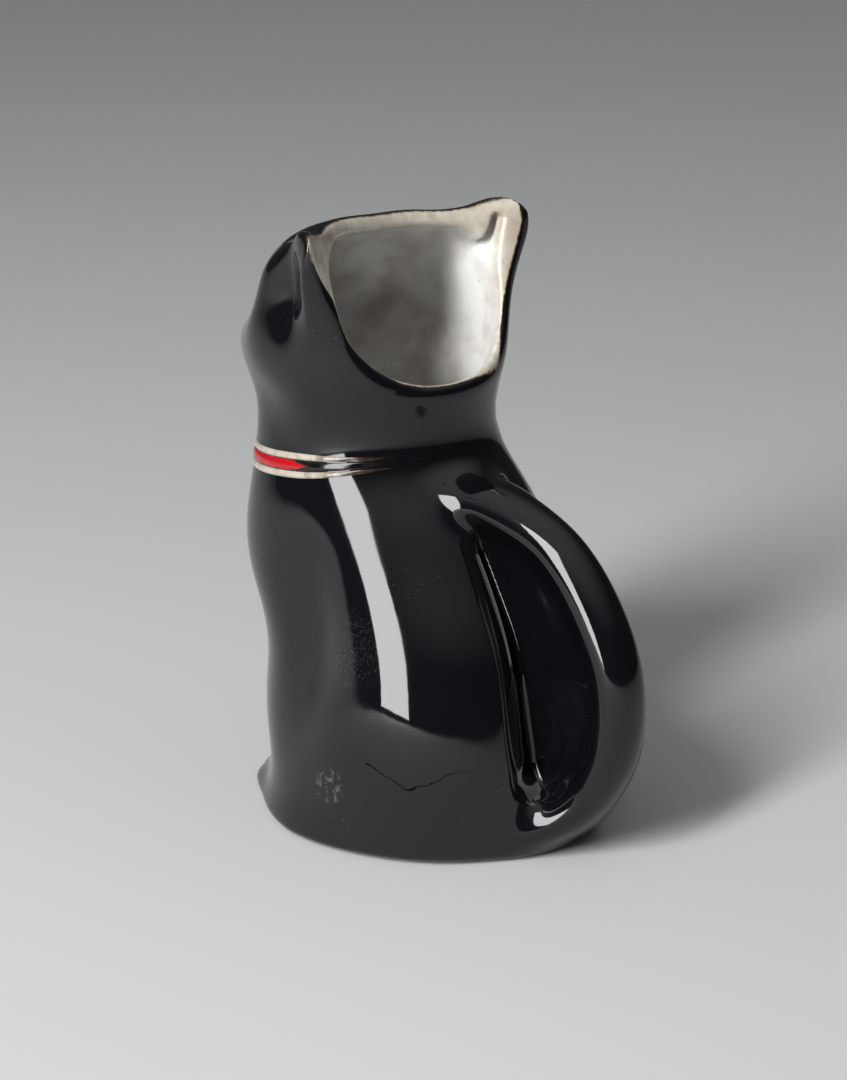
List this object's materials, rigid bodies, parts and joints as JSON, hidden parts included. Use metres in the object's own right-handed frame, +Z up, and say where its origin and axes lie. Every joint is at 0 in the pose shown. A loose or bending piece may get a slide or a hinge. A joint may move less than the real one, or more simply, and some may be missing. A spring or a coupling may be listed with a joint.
{
  "type": "cat-shaped pitcher",
  "caption": "Hollow glazed ceramic jug in the form of a sitting cat, poured through the scooped-out back of the head and held by the looped tail.",
  "frame": {"origin": "on the table, under the middle of the bounding box", "axes": "+Z up from the foot to the ear tips, -Y the way the cat faces, +X the cat's left side"},
  "size_m": [0.0684, 0.1036, 0.12],
  "materials": {
    "black_glaze": "high gloss black glaze outside, cream clay and clear glaze inside",
    "red_enamel": "gloss red, worn through to brown and black towards the back",
    "cream_slip": "gloss cream line"
  },
  "bodies": {
    "root": {"body": "black_glaze", "head": "black_glaze", "tail_handle": "black_glaze", "collar_band": "red_enamel", "collar_upper_line": "cream_slip", "collar_lower_line": "cream_slip"}
  },
  "joints": []
}
